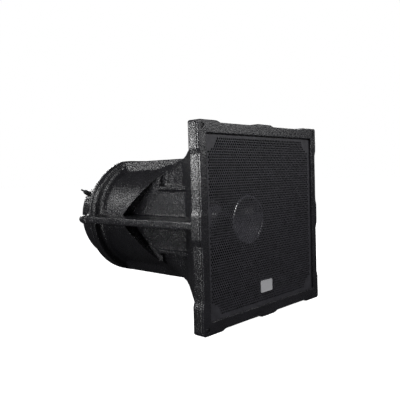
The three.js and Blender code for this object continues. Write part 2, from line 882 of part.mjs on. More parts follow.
// The cable from the crossover board to the woofer's connector.
function wooferLead() {
  const path = new THREE.CatmullRomCurve3([
    new THREE.Vector3(0, terminalY[1] + 1, -140),
    new THREE.Vector3(3, terminalY[1] + 15, -141),
    new THREE.Vector3(37, boardY - 16, -121),
    new THREE.Vector3(39, boardY - 3.5, -117),
  ]);
  const section = new THREE.Shape();
  section.absarc(0, 0, 2, 0, 2 * Math.PI);
  const options = { steps: 10, extrudePath: path, curveSegments: 4 };
  return solidOf(new THREE.ExtrudeGeometry(section, options));
}

// ------------------------------------------------------------------ assembly

const assembly = new THREE.Group();
assembly.name = 'horn_loudspeaker';
const main = new THREE.Group();
main.position.set(0, -flangeDepth / 2, faceHalf);
assembly.add(main);

function add(name, solid, finishName, position = [0, 0, 0], turnZ = 0) {
  const mesh = new THREE.Mesh(geometryOf(solid), finishes[finishName]());
  mesh.name = name;
  mesh.position.set(...position);
  mesh.rotation.z = turnZ;
  main.add(mesh);
}

add('horn_body', hornBody(), 'fibreglass');
add('front_frame', frontFrame(), 'frame');
add('grille', grille(), 'paintedSteel');
add('grille_gasket', grilleGasket(), 'rubber');
squareCorners(frameBoltPlace).forEach(([x, z], k) => {
  add(`frame_bolt_${k + 1}`, frameBolt(), 'blackSteel', [x, 4.3, z]);
});
add('badge', badge(), 'aluminium', [0, 0, -0.345 * faceSide]);

add('hf_horn', hfHorn(), 'gloss');
add('hf_bracket', hfBracket(), 'paintedSteel');
add('hf_front_plate', hfFrontPlate(), 'steel');
add('hf_magnet', hfMagnet(), 'ferrite');
add('hf_yoke', hfYoke(), 'steel');
add('hf_diaphragm', hfDiaphragm(), 'aluminium');
add('hf_diaphragm_ring', hfDiaphragmRing(), 'aluminium');
add('hf_rear_cap', hfRearCap(), 'paintedSteel');
add('hf_bracket_screw_right', bracketScrew(), 'steel', [bracketScrewX, bracketY - 0.2, 0]);
add('hf_bracket_screw_left', bracketScrew(), 'steel', [-bracketScrewX, bracketY - 0.2, 0]);

add('woofer_gasket', wooferGasket(), 'rubber');
add('woofer_basket', wooferBasket(), 'paintedSteel');
add('woofer_surround', wooferSurround(), 'rubber');
add('woofer_cone', wooferCone(), 'paper');
add('woofer_dust_cap', dustCap(), 'paper');
add('woofer_voice_coil', voiceCoil(), 'copper');
add('woofer_spider', spider(), 'felt');
add('woofer_top_plate', topPlate(), 'steel');
add('woofer_magnet', wooferMagnet(), 'ferrite');
add('woofer_pole_and_back_plate', poleAndBackPlate(), 'steel');
add('woofer_terminal', wooferTerminal(), 'gloss');

add('cover_gasket', coverGasket(), 'rubber');
add('rear_cover', rearCover(), 'fibreglass');
circlePlaces(coverBoltCircle, coverBoltCount, coverBoltStart).forEach(([x, z], k) => {
  add(`cover_bolt_${k + 1}`, coverBolt(), 'steel', [x, coverFlangeRearY + 0.2, z], Math.PI);
});
add('ear_bolt_right', earBolt(), 'steel', [earBoltX, coverFlangeRearY + 0.2, 0], Math.PI);
add('ear_bolt_left', earBolt(), 'steel', [-earBoltX, coverFlangeRearY + 0.2, 0], Math.PI);
add('damping_felt', dampingFelt(), 'felt');

add('cable_gland', cableGland(), 'rubber');
add('cable_gland_nut', glandNut(), 'rubber');
add('supply_cable', supplyCable(), 'rubber');
add('crossover_board', crossoverBoard(), 'board');
add('crossover_coil', crossoverCoil(), 'copper');
add('crossover_capacitor_1', crossoverCapacitor(4), 'gloss');
add('crossover_capacitor_2', crossoverCapacitor(24), 'gloss');
add('woofer_lead', wooferLead(), 'rubber');

export default assembly;
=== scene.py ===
"""Looks of the horn loudspeaker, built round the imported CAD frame.

Metres, +Z up. The sound leaves along -Y, and the horn's axis runs along Y at height AXIS_Z.
Sizes are shares of the square front face, S, or millimetres (MM).
"""

import json
import math

import bmesh
import bpy
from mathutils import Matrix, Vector
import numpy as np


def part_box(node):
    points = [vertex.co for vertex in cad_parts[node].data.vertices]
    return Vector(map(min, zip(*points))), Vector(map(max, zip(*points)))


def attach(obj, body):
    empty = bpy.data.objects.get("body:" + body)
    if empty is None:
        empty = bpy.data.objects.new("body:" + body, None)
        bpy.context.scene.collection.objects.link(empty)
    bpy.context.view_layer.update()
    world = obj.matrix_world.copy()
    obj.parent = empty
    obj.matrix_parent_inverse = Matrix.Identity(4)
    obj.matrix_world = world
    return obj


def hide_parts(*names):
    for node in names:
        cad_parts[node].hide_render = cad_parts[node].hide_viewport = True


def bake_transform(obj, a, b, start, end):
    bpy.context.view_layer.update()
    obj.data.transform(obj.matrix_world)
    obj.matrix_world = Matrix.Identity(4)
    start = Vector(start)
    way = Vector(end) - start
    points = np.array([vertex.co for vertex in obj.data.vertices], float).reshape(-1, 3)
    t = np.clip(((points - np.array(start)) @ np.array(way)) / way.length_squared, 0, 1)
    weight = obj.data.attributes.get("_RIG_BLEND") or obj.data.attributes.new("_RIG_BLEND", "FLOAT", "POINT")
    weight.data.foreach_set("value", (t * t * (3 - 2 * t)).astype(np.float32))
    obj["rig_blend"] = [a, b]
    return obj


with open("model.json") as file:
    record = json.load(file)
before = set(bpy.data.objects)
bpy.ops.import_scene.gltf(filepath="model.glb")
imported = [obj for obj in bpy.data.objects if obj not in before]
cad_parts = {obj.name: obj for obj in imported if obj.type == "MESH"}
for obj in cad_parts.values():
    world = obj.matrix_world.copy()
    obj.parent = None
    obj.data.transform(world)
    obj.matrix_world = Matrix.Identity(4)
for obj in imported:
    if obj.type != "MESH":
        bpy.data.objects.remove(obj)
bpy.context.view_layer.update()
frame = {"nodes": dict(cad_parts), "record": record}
nodes = frame["nodes"]

MM = 0.001
face_low, face_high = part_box("front_frame")
S = face_high.x - face_low.x
FRONT_Y = face_low.y
AXIS_Z = (face_low.z + face_high.z) / 2
CABINET = "cabinet"
WOOFER = "woofer_moving"


def at(x, y, z):
    """A point given in metres from the middle of the front plane."""
    return (x, FRONT_Y + y, AXIS_Z + z)


def depth(node):
    """How far a CAD node's front and rear lie behind the front plane."""
    low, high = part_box(node)
    return low.y - FRONT_Y, high.y - FRONT_Y


# ------------------------------------------------------------------ mesh tools


def mesh_object(name, verts, faces):
    mesh = bpy.data.meshes.new(name)
    mesh.from_pydata([tuple(v) for v in verts], [], faces)
    work = bmesh.new()
    work.from_mesh(mesh)
    bmesh.ops.remove_doubles(work, verts=work.verts, dist=1e-7)
    bmesh.ops.dissolve_degenerate(work, edges=work.edges, dist=1e-7)
    bmesh.ops.recalc_face_normals(work, faces=work.faces)
    work.to_mesh(mesh)
    work.free()
    piece = bpy.data.objects.new(name, mesh)
    bpy.context.scene.collection.objects.link(piece)
    return piece


def skin(name, rows, loop=False):
    """A closed surface through rows of points. Every row is a ring with the same number of points."""
    count = len(rows[0])
    verts = [p for row in rows for p in row]
    faces = []
    for i in range(len(rows) if loop else len(rows) - 1):
        a, b = i * count, (i + 1) % len(rows) * count
        for k in range(count):
            n = (k + 1) % count
            faces.append((a + k, a + n, b + n, b + k))
    if not loop:
        faces.append(tuple(range(count)))
        last = (len(rows) - 1) * count
        faces.append(tuple(last + k for k in range(count)))
    return mesh_object(name, verts, faces)


def prism(outline, y_from, y_to, name="tool"):
    """A closed outline of (x, z) points, given depth along Y."""
    return skin(name, [[at(x, y, z) for x, z in outline] for y in (y_from, y_to)])


def block(x, y, z):
    """A box; x, y and z are (from, to)."""
    rectangle = [(x[0], z[0]), (x[1], z[0]), (x[1], z[1]), (x[0], z[1])]
    return prism(rectangle, y[0], y[1])


def circle(radius, count=24, x=0.0, z=0.0):
    turns = [2 * math.pi * k / count for k in range(count)]
    return [(x + radius * math.cos(t), z + radius * math.sin(t)) for t in turns]


def bar(radius, y_from, y_to, x=0.0, z=0.0, sides=24):
    return prism(circle(radius, sides, x, z), y_from, y_to)


def turned(name, profile, sides=96):
    """A turned piece: the profile is a closed list of (radius, y)."""
    rows = [[at(x, y, z) for x, z in circle(r, sides)] for r, y in profile]
    return skin(name, rows, loop=True)


def bake(piece):
    """Applies the piece's modifiers."""
    graph = bpy.context.evaluated_depsgraph_get()
    mesh = bpy.data.meshes.new_from_object(piece.evaluated_get(graph), depsgraph=graph)
    piece.modifiers.clear()
    piece.data = mesh


def combine(piece, tools, operation):
    for tool in tools:
        boolean = piece.modifiers.new("combine", "BOOLEAN")
        boolean.solver = "MANIFOLD"
        boolean.operation = operation
        boolean.object = tool
        bake(piece)
        bpy.data.objects.remove(tool)


def join(piece, *tools):
    combine(piece, tools, "UNION")


def cut(piece, *tools):
    combine(piece, tools, "DIFFERENCE")


def smooth_shading(piece, angle=None):
    """Smooth normals everywhere, or only across edges flatter than angle degrees."""
    piece.data.shade_smooth()
    if angle is not None:
        piece.data.set_sharp_from_angle(angle=math.radians(angle))


def clouds(name, size, detail):
    texture = bpy.data.textures.new(name, "CLOUDS")
    texture.noise_scale = size
    texture.noise_depth = detail
    return texture


def mould(piece, voxel, rounding, lumps, faces):
    """Turns sharp solids into one hand-laid moulding: rounded edges, and lumps of (size, height)."""
    remesh = piece.modifiers.new("voxels", "REMESH")
    remesh.mode = "VOXEL"
    remesh.voxel_size = voxel
    relax = piece.modifiers.new("relax", "SMOOTH")
    relax.factor = 0.5
    relax.iterations = rounding
    for size, height in lumps:
        displace = piece.modifiers.new("lumps", "DISPLACE")
        displace.texture = clouds(f"{piece.name}_lumps", size, 1)
        displace.strength = height
        displace.mid_level = 1.0
    bake(piece)
    triangles = sum(len(p.vertices) - 2 for p in piece.data.polygons)
    if triangles > faces:
        thin = piece.modifiers.new("thin", "DECIMATE")
        thin.ratio = faces / triangles
        bake(piece)
    smooth_shading(piece)


def place(piece, body, slot, *stands_for):
    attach(piece, body)
    if stands_for:
        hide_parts(*stands_for)
    return piece


# ------------------------------------------------------------------- materials


class Shader:
    """A small wrapper that adds nodes to a new material's tree."""

    def __init__(self, name):
        self.material = bpy.data.materials.new(name)
        self.material.use_nodes = True
        self.tree = self.material.node_tree
        self.surface = self.tree.nodes["Principled BSDF"]
        self.coordinates = self.tree.nodes.new("ShaderNodeTexCoord").outputs["Object"]

    def link(self, source, target):
        self.tree.links.new(source, target)

    def noise(self, scale, detail=3.0, rough=0.5, stretch=None):
        where = self.coordinates
        if stretch is not None:
            mapping = self.tree.nodes.new("ShaderNodeMapping")
            mapping.inputs["Scale"].default_value = stretch
            self.link(where, mapping.inputs["Vector"])
            where = mapping.outputs["Vector"]
        node = self.tree.nodes.new("ShaderNodeTexNoise")
        node.inputs["Scale"].default_value = scale
        node.inputs["Detail"].default_value = detail
        node.inputs["Roughness"].default_value = rough
        self.link(where, node.inputs["Vector"])
        return node.outputs["Fac"]

    def cells(self, scale, feature="F1"):
        node = self.tree.nodes.new("ShaderNodeTexVoronoi")
        node.feature = feature
        node.inputs["Scale"].default_value = scale
        self.link(self.coordinates, node.inputs["Vector"])
        return node.outputs["Distance"]

    def ramp(self, value, stops):
        """Stops are (position, colour)."""
        node = self.tree.nodes.new("ShaderNodeValToRGB")
        ramp = node.color_ramp
        while len(ramp.elements) < len(stops):
            ramp.elements.new(0.5)
        for element, (place_at, shade) in zip(ramp.elements, stops):
            element.position = place_at
            element.color = (*shade, 1.0)
        self.link(value, node.inputs["Fac"])
        return node.outputs["Color"]

    def span(self, value, low, high):
        """Stretches the middle of a noise's range, 0.3 to 0.7, to low and high."""
        node = self.tree.nodes.new("ShaderNodeMapRange")
        node.inputs["From Min"].default_value = 0.3
        node.inputs["From Max"].default_value = 0.7
        node.inputs["To Min"].default_value = low
        node.inputs["To Max"].default_value = high
        self.link(value, node.inputs["Value"])
        return node.outputs["Result"]

    def color(self, source):
        self.link(source, self.surface.inputs["Base Color"])

    def roughness(self, source):
        self.link(source, self.surface.inputs["Roughness"])

    def set(self, name, value):
        self.surface.inputs[name].default_value = value

    def bump(self, *layers, edge=0.0):
        """Layers are (height source, depth in metres), the finest last; edge rounds the corners."""
        normal = None
        if edge:
            node = self.tree.nodes.new("ShaderNodeBevel")
            node.samples = 6
            node.inputs["Radius"].default_value = edge
            normal = node.outputs["Normal"]
        for height, distance in layers:
            node = self.tree.nodes.new("ShaderNodeBump")
            node.inputs["Distance"].default_value = distance
            node.inputs["Strength"].default_value = 1.0
            self.link(height, node.inputs["Height"])
            if normal is not None:
                self.link(normal, node.inputs["Normal"])
            normal = node.outputs["Normal"]
        self.link(normal, self.surface.inputs["Normal"])


def grey(value):
    """A slightly bluish grey, as on the real paint."""
    return (value * 0.97, value * 0.95, value * 1.14)


def moulded_glass_fibre(name, tone, pebble):
    """Black gel coat over chopped strands: pebbled, with glossier and duller spots."""
    s = Shader(name)
    patches = s.noise(22, 4, 0.6)
    grain = s.noise(210, 3, 0.65)
    s.color(s.ramp(patches, [(0.3, grey(tone * 0.75)), (0.7, grey(tone * 1.35))]))
    s.roughness(s.span(grain, 0.2, 0.38))
    s.set("Specular IOR Level", 0.55)
    waves = s.noise(40, 2, 0.5)
    pebbles = s.noise(260, 2, 0.6)
    fine = s.noise(450, 2, 0.6)
    s.bump((waves, 0.0009), (pebbles, pebble), (fine, pebble * 0.7), edge=2 * MM)
    return s.material


def coated_steel(name, tone, rough):
    s = Shader(name)
    s.color(s.ramp(s.noise(60, 3), [(0.3, grey(tone * 0.8)), (0.7, grey(tone * 1.3))]))
    s.roughness(s.span(s.noise(300, 2), rough - 0.06, rough + 0.08))
    s.bump((s.noise(1500, 2), 0.00006))
    return s.material


def bare_metal(name, color, rough):
    s = Shader(name)
    dark = tuple(c * 0.75 for c in color)
    lines = s.noise(160, 4, 0.6, (1, 1, 14))
    s.color(s.ramp(lines, [(0.25, dark), (0.75, color)]))
    s.roughness(s.span(lines, rough - 0.08, rough + 0.1))
    s.set("Metallic", 1.0)
    s.bump((lines, 0.00005))
    return s.material


def satin_silver(name):
    s = Shader(name)
    s.color(s.ramp(s.noise(900, 2), [(0.3, (0.5, 0.5, 0.52)), (0.7, (0.66, 0.66, 0.68))]))
    s.set("Metallic", 0.2)
    s.roughness(s.span(s.noise(400, 2), 0.36, 0.46))
    return s.material


def moulded_rubber(name):
    s = Shader(name)
    s.color(s.ramp(s.noise(90, 3), [(0.3, grey(0.008)), (0.7, grey(0.018))]))
    s.roughness(s.span(s.noise(400, 2), 0.6, 0.8))
    s.bump((s.noise(900, 3), 0.0001))
    return s.material


def gloss_plastic(name):
    s = Shader(name)
    s.color(s.ramp(s.noise(50, 2), [(0.3, grey(0.006)), (0.7, grey(0.011))]))
    s.roughness(s.span(s.noise(200, 2), 0.24, 0.34))
    s.bump((s.noise(1200, 2), 0.00003))
    return s.material


def fibrous(name, color, scale=700):
    s = Shader(name)
    fibres = s.noise(scale, 5, 0.7)
    dark = tuple(c * 0.55 for c in color)
    s.color(s.ramp(fibres, [(0.3, dark), (0.7, color)]))
    s.set("Roughness", 0.95)
    s.bump((fibres, 0.0005))
    return s.material


def ceramic(name):
    s = Shader(name)
    specks = s.cells(500)
    s.color(s.ramp(specks, [(0.0, grey(0.03)), (0.6, grey(0.07))]))
    s.roughness(s.span(s.noise(150, 3), 0.45, 0.7))
    s.bump((s.noise(600, 3), 0.0001))
    return s.material


def circuit_board(name):
    s = Shader(name)
    tracks = s.cells(120, "DISTANCE_TO_EDGE")
    s.color(s.ramp(tracks, [(0.02, (0.02, 0.09, 0.04)), (0.08, (0.012, 0.05, 0.022))]))
    s.set("Roughness", 0.45)
    s.bump((tracks, 0.0002))
    return s.material


def wound_wire(name):
    s = Shader(name)
    turns = s.noise(90, 2, 0.4, (1, 30, 1))
    s.color(s.ramp(turns, [(0.3, (0.32, 0.12, 0.05)), (0.7, (0.62, 0.28, 0.13))]))
    s.set("Metallic", 1.0)
    s.roughness(s.span(turns, 0.25, 0.45))
    s.bump((turns, 0.0003))
    return s.material


materials = {
    "fibreglass_black": moulded_glass_fibre("moulded_black_glass_fibre", 0.01, 0.0009),
    "frame_black": moulded_glass_fibre("moulded_black_frame", 0.015, 0.0006),
    "grille_black": coated_steel("powder_coated_grille", 0.031, 0.5),
    "painted_steel": coated_steel("painted_steel", 0.012, 0.45),
    "steel": bare_metal("zinc_plated_steel", (0.5, 0.51, 0.53), 0.34),
    "black_steel": coated_steel("blackened_steel", 0.01, 0.38),
    "aluminium": satin_silver("satin_silver_paint"),
    "rubber_black": moulded_rubber("black_rubber"),
    "cone_paper": fibrous("treated_paper", (0.03, 0.029, 0.027)),
    "ferrite": ceramic("ferrite"),
    "gloss_black": gloss_plastic("gloss_black_plastic"),
    "felt": fibrous("felt", (0.11, 0.1, 0.09), 400),
    "board_green": circuit_board("green_circuit_board"),
    "copper": wound_wire("copper_winding"),
}


def coat(piece, slot):
    piece.data.materials.clear()
    piece.data.materials.append(materials[slot])


for subpart in frame["record"]["subparts"]:
    coat(nodes[subpart["node"]], subpart["material_slot"])


def finish_piece(piece, body, slot, *stands_for):
    coat(piece, slot)
    return place(piece, body, slot, *stands_for)


# ------------------------------------------------------- shape of the moulding

FRAME_REAR = depth("front_frame")[1]
FLANGE_FRONT = FRAME_REAR + 0.3 * MM
FLANGE_REAR = 38 * MM
RING_FRONT = 1.03 * S
RING_REAR = depth("horn_body")[1]
RING_RADIUS = 0.364 * S
RING_FLAT = 0.356 * S
DRUM_FRONT = 0.6 * S
DRUM_RADIUS = 0.312 * S
COVE_FRONT = 0.985 * S
RIDGE_HALF_WIDTH = 0.12 * S
RIDGE_HALF_HEIGHT = 0.347 * S
WALL = 6 * MM
PANEL_X = 0.232 * S
PANEL_HALF_HEIGHT = 0.19 * S
PANEL_REAR = 0.58 * S
SHOULDER_HALF_HEIGHT = 0.208 * S
NOTCH_REAR = 0.835 * S
FIN_X = 0.43 * S
FIN_HALF = 0.021 * S
EAR_HALF = 13.5 * MM
EDGE_STEP = 5 * MM
EDGE_ROUND = 6 * MM
GRILLE_FRONT, GRILLE_REAR = depth("grille")
GRILLE_HALF = (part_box("grille")[1].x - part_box("grille")[0].x) / 2


def flange_outline():
    """The square edge: proud at its corners and middle pads, stepped back in between."""
    half = S / 2
    low = half - EDGE_STEP
    side = [
        (half - EDGE_ROUND, half),
        (half - 0.132 * S, half),
        (half - 0.158 * S, low),
        (0.083 * S, low),
        (0.055 * S, half),
    ]
    whole = side + [(-x, z) for x, z in reversed(side)]
    middle = half - EDGE_ROUND * (1 - math.sqrt(0.5))
    outline = []
    for quarter in range(4):
        c, s = round(math.cos(quarter * math.pi / 2)), round(math.sin(quarter * math.pi / 2))
        for x, z in whole + [(-middle, middle)]:
            outline.append((x * c - z * s, x * s + z * c))
    return outline


CORNERS = [(1, 1), (-1, 1), (-1, -1), (1, -1)]


def rounded_rectangle(width, height, radius):
    """Half width, half height and corner radius."""
    points = 8
    outline = []
    for quarter, (sx, sz) in enumerate(CORNERS):
        for k in range(points):
            turn = (quarter + k / (points - 1)) * math.pi / 2
            x = sx * (width - radius) + radius * math.cos(turn)
            z = sz * (height - radius) + radius * math.sin(turn)
            outline.append((x, z))
    return outline


def loft(stations):
    """A duct through rounded rectangles (y, half width, half height, radius), in shares of S."""
    steps = 4
    rows = []
    for a, b in zip(stations, stations[1:]):
        for k in range(steps):
            t = k / steps
            rows.append([p + (q - p) * t for p, q in zip(a, b)])
    rows.append(stations[-1])
    rings = []
    for y, w, h, r in rows:
        ring = rounded_rectangle(w * S, h * S, r * S)
        rings.append([at(x, y * S, z) for x, z in ring])
    return skin("tool", rings)


FLARE = [
    (0.06, 0.468, 0.441, 0.03),
    (0.15, 0.402, 0.414, 0.03),
    (0.25, 0.322, 0.388, 0.03),
    (0.35, 0.244, 0.364, 0.03),
    (0.42, 0.196, 0.349, 0.03),
    (0.5, 0.186, 0.347, 0.1),
    (0.57, 0.184, 0.346, 0.16),
    (0.62, 0.192, 0.345, 0.17),
    (0.8, 0.19, 0.322, 0.19),
]
DUCT = [
    (0.01, 0.447, 0.43, 0.02),
    (0.04, 0.438, 0.424, 0.02),
    (0.15, 0.375, 0.4, 0.02),
    (0.25, 0.303, 0.376, 0.02),
    (0.35, 0.227, 0.352, 0.02),
    (0.42, 0.182, 0.337, 0.02),
    (0.5, 0.173, 0.335, 0.09),
    (0.58, 0.17, 0.334, 0.15),
    (0.84, 0.216, 0.322, 0.21),
    (0.92, 0.3, 0.3, 0.299),
    (1.03, 0.3, 0.3, 0.299),
]


def hull(points):
    """The smallest convex solid round points given from the middle of the front plane."""
    work = bmesh.new()
    for x, y, z in points:
        work.verts.new(at(x, y, z))
    bmesh.ops.convex_hull(work, input=work.verts)
    mesh = bpy.data.meshes.new("tool")
    work.to_mesh(mesh)
    work.free()
    piece = bpy.data.objects.new("tool", mesh)
    bpy.context.scene.collection.objects.link(piece)
    return piece


def notch(side):
    """The wedge cut from one side of the drum, deeper at its front."""
    outside = RING_RADIUS + 20 * MM
    bottom = 0.2 * S
    half_height = 0.265 * S
    upper = [
        (PANEL_X, NOTCH_REAR, FIN_HALF),
        (outside, 0.8 * S, FIN_HALF),
        (bottom, DRUM_FRONT, half_height),
        (bottom, 0.45 * S, half_height),
        (outside, 0.36 * S, half_height),
    ]
    return hull([(side * x, y, up * z) for x, y, z in upper for up in (1, -1)])


def panel_tongue():
    """Behind their lips, the side panels narrow towards the fins inside the notches."""
    ends = [(PANEL_REAR, SHOULDER_HALF_HEIGHT), (NOTCH_REAR - 0.003 * S, FIN_HALF)]
    return hull([(x * PANEL_X, y, up * z) for y, z in ends for x in (1, -1) for up in (1, -1)])


def drum():
    """The drum, which spreads into the ring through a cove."""
    profile = [(DRUM_FRONT, DRUM_RADIUS + 0.003 * S), (COVE_FRONT, DRUM_RADIUS)]
    cove = 0.018 * S
    for k in range(1, 9):
        turn = k / 8 * math.pi / 2
        y = COVE_FRONT + (RING_FRONT - COVE_FRONT) * math.sin(turn)
        profile.append((y, DRUM_RADIUS + cove * (1 - math.cos(turn))))
    profile.append((RING_FRONT + MM, profile[-1][1]))
    rows = [[at(x, y, z) for x, z in circle(radius, 192)] for y, radius in profile]
    return skin("moulded_horn_body", rows)


def ridge(up):
    """The raised band along the drum's top or bottom; its sides slope a little."""
    ends = (DRUM_FRONT - 60 * MM, RING_FRONT + MM)
    foot, crest = RIDGE_HALF_WIDTH + 0.02 * S, RIDGE_HALF_WIDTH - 0.008 * S
    section = [(foot, 0.26 * S), (crest, RIDGE_HALF_HEIGHT)]
    return hull([(side * x, y, up * z) for x, z in section for y in ends for side in (1, -1)])


def ring_outline():
    """The ring's outline, flat at the top and the bottom."""
    return [(x, max(-RING_FLAT, min(RING_FLAT, z))) for x, z in circle(RING_RADIUS, 192)]


BODY_VOXEL = 2.3 * MM
BODY_LUMPS = [(0.03, 0.8 * MM), (0.009, 0.4 * MM)]
WOOFER_OPENING = 172 * MM
WOOFER_SEAT = 192 * MM
WOOFER_SEAT_DEPTH = 8.4 * MM


def front_of_body():
    """The flange with its flare, the side panels with their lips, and the fins."""
    front = prism(flange_outline(), FLANGE_FRONT, FLANGE_REAR, "front_half")
    join(front, loft(FLARE), panel_tongue())
    panel_y = (0.34 * S, PANEL_REAR)
    height = PANEL_HALF_HEIGHT
    join(front, block((-PANEL_X, PANEL_X), panel_y, (-height, height)))
    lip_x, lip = PANEL_X + 6 * MM, 12 * MM
    join(front, block((-lip_x, lip_x), panel_y, (height - lip, height)))
    join(front, block((-lip_x, lip_x), panel_y, (-height, lip - height)))
    join(front, block((-FIN_X, FIN_X), (FLANGE_REAR - 2 * MM, RING_REAR), (-FIN_HALF, FIN_HALF)))
    ear_x = FIN_X + 2 * MM
    join(front, block((-ear_x, ear_x), (RING_FRONT, RING_REAR), (-EAR_HALF, EAR_HALF)))
    mould(front, BODY_VOXEL, 3, BODY_LUMPS, 90000)
    return front


def rear_of_body():
    """The drum with its ring, its raised bands and the notches in its sides."""
    rear = drum()
    join(rear, ridge(1), ridge(-1), prism(ring_outline(), RING_FRONT, RING_REAR))
    mould(rear, BODY_VOXEL, 3, BODY_LUMPS, 90000)
    cut(rear, notch(1), notch(-1))
    return rear


def horn_body():
    """The whole moulding, hollowed out and machined for the woofer and the grille."""
    body = rear_of_body()
    join(body, front_of_body())
    pocket = GRILLE_HALF + 0.5 * MM
    pocket_y = depth("grille_gasket")[1] + 0.2 * MM
    cut(body, block((-pocket, pocket), (0, pocket_y), (-pocket, pocket)), loft(DUCT))
    hollow_wide, hollow_high = RIDGE_HALF_WIDTH - WALL, RIDGE_HALF_HEIGHT - WALL
    hollow_y = (DRUM_FRONT + WALL, RING_FRONT - WALL)
    cut(body, block((-hollow_wide, hollow_wide), hollow_y, (-hollow_high, hollow_high)))
    cut(body, bar(WOOFER_OPENING, RING_FRONT - 2 * MM, RING_REAR + MM, sides=128))
    cut(body, bar(WOOFER_SEAT, RING_REAR - WOOFER_SEAT_DEPTH, RING_REAR + MM, sides=128))
    smooth_shading(body, 40)
    return finish_piece(body, CABINET, "fibreglass_black", "horn_body")


horn_body()

# --------------------------------------------------------------- front of horn

OPENING_HALF_WIDTH = 0.446 * S
OPENING_HALF_HEIGHT = 0.437 * S
BOLT_PLACE = S / 2 - 15.4 * MM
BOLT_HOLE = 3.3 * MM
HEAD_HOLE = 6.3 * MM
HEAD_HOLE_DEPTH = 4.5 * MM
FRAME_LUMPS = [(0.03, 0.6 * MM), (0.008, 0.3 * MM)]


def front_frame():
    """The square frame that clamps the grille, with sunk holes for its corner bolts."""
    plate = prism(flange_outline(), 0, FRAME_REAR, "clamping_frame")
    w, h = OPENING_HALF_WIDTH, OPENING_HALF_HEIGHT
    cut(plate, block((-w, w), (-MM, FRAME_REAR + MM), (-h, h)))
    mould(plate, 1.5 * MM, 3, FRAME_LUMPS, 120000)
    for sx, sz in CORNERS:
        x, z = sx * BOLT_PLACE, sz * BOLT_PLACE
        cut(plate, bar(BOLT_HOLE, -MM, FRAME_REAR + MM, x, z))
        cut(plate, bar(HEAD_HOLE, -2 * MM, HEAD_HOLE_DEPTH, x, z))
    return finish_piece(plate, CABINET, "frame_black", "front_frame")


front_frame()

HOLE_PITCH = 8 * MM
HOLE_RADIUS = 3 * MM
HOLE_SIDES = 12
PLAIN_CORNER = 0.083 * S
HOLES_HALF_WIDTH = OPENING_HALF_WIDTH - 5 * MM
HOLES_HALF_HEIGHT = OPENING_HALF_HEIGHT - 5 * MM


def polygon(x, z, radius, sides):
    turns = [math.pi / 6 + 2 * math.pi * k / sides for k in range(sides)]
    return [(x + radius * math.cos(t), z + radius * math.sin(t)) for t in turns]


def cell_places():
    """The middles of the sheet's hexagonal cells, in staggered rows."""
    row_step = HOLE_PITCH * math.sqrt(3) / 2
    rows = int(HOLES_HALF_HEIGHT / row_step)
    places = []
    for j in range(-rows, rows + 1):
        shift = HOLE_PITCH / 2 if j % 2 else 0.0
        columns = int((HOLES_HALF_WIDTH - shift) / HOLE_PITCH)
        for i in range(-columns - (1 if shift else 0), columns + 1):
            places.append((i * HOLE_PITCH + shift, j * row_step))
    return places


def add_cell(work, vertex_at, x, z):
    """A hexagon with a round hole in it, or without one near the opening's corners."""
    hexagon = [vertex_at(*p) for p in polygon(x, z, HOLE_PITCH / math.sqrt(3), 6)]
    from_corner = math.hypot(OPENING_HALF_WIDTH - abs(x), OPENING_HALF_HEIGHT - abs(z))
    if from_corner < PLAIN_CORNER:
        work.faces.new(hexagon)
        return
    ring = [vertex_at(*p) for p in polygon(x, z, HOLE_RADIUS, HOLE_SIDES)]
    for k in range(6):
        a, b = hexagon[k], hexagon[(k + 1) % 6]
        p, q, r = ring[2 * k], ring[2 * k + 1], ring[(2 * k + 2) % HOLE_SIDES]
        for face in ((a, q, p), (a, b, q), (b, r, q)):
            work.faces.new(face)


def add_margin(work, y):
    """Fills the sheet out to its square edge; this also closes the holes of the outermost cells."""
    outside = []
    for edge in work.edges:
        middle = (edge.verts[0].co + edge.verts[1].co) / 2
        beside = abs(middle.x) > HOLES_HALF_WIDTH - HOLE_PITCH
        beyond = abs(middle.z - AXIS_Z) > HOLES_HALF_HEIGHT - HOLE_PITCH
        if len(edge.link_faces) == 1 and (beside or beyond):
            outside.append(edge)
    square = [work.verts.new(at(sx * GRILLE_HALF, y, sz * GRILLE_HALF)) for sx, sz in CORNERS]
    rim = [work.edges.new((square[k], square[(k + 1) % 4])) for k in range(4)]
    bmesh.ops.triangle_fill(work, edges=outside + rim, use_beauty=True)


def grille():
    """The perforated sheet: round holes in staggered rows, between plain margins and corners."""
    work = bmesh.new()
    seen = {}

    def vertex_at(x, z):
        key = (round(x * 2e6), round(z * 2e6))
        if key not in seen:
            seen[key] = work.verts.new(at(x, GRILLE_FRONT, z))
        return seen[key]

    for x, z in cell_places():
        add_cell(work, vertex_at, x, z)
    add_margin(work, GRILLE_FRONT)
    bmesh.ops.recalc_face_normals(work, faces=work.faces)
    mesh = bpy.data.meshes.new("perforated_grille")
    work.to_mesh(mesh)
    work.free()
    piece = bpy.data.objects.new("perforated_grille", mesh)
    bpy.context.scene.collection.objects.link(piece)
    solid = piece.modifiers.new("thickness", "SOLIDIFY")
    solid.thickness = GRILLE_REAR - GRILLE_FRONT
    solid.offset = -1
    bake(piece)
    return finish_piece(piece, CABINET, "grille_black", "grille")


grille()


def badge():
    """A plain plate with a raised rim; it carries no mark."""
    low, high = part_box("badge")
    centre = (low + high) / 2
    half_w, half_h = (high.x - low.x) / 2, (high.z - low.z) / 2
    z = centre.z - AXIS_Z
    front, rear = depth("badge")

    def ring(inset, y):
        shape = rounded_rectangle(half_w - inset, half_h - inset, 4 * MM - min(inset, 2.5 * MM))
        return [at(x, y, z + up) for x, up in shape]

    rows = [
        ring(0, rear), ring(0, front + 0.4 * MM), ring(0.4 * MM, front),
        ring(1.8 * MM, front), ring(2.2 * MM, front + 0.5 * MM),
    ]
    plate = skin("plain_badge", rows)
    smooth_shading(plate, 35)
    return finish_piece(plate, CABINET, "aluminium", "badge")


badge()


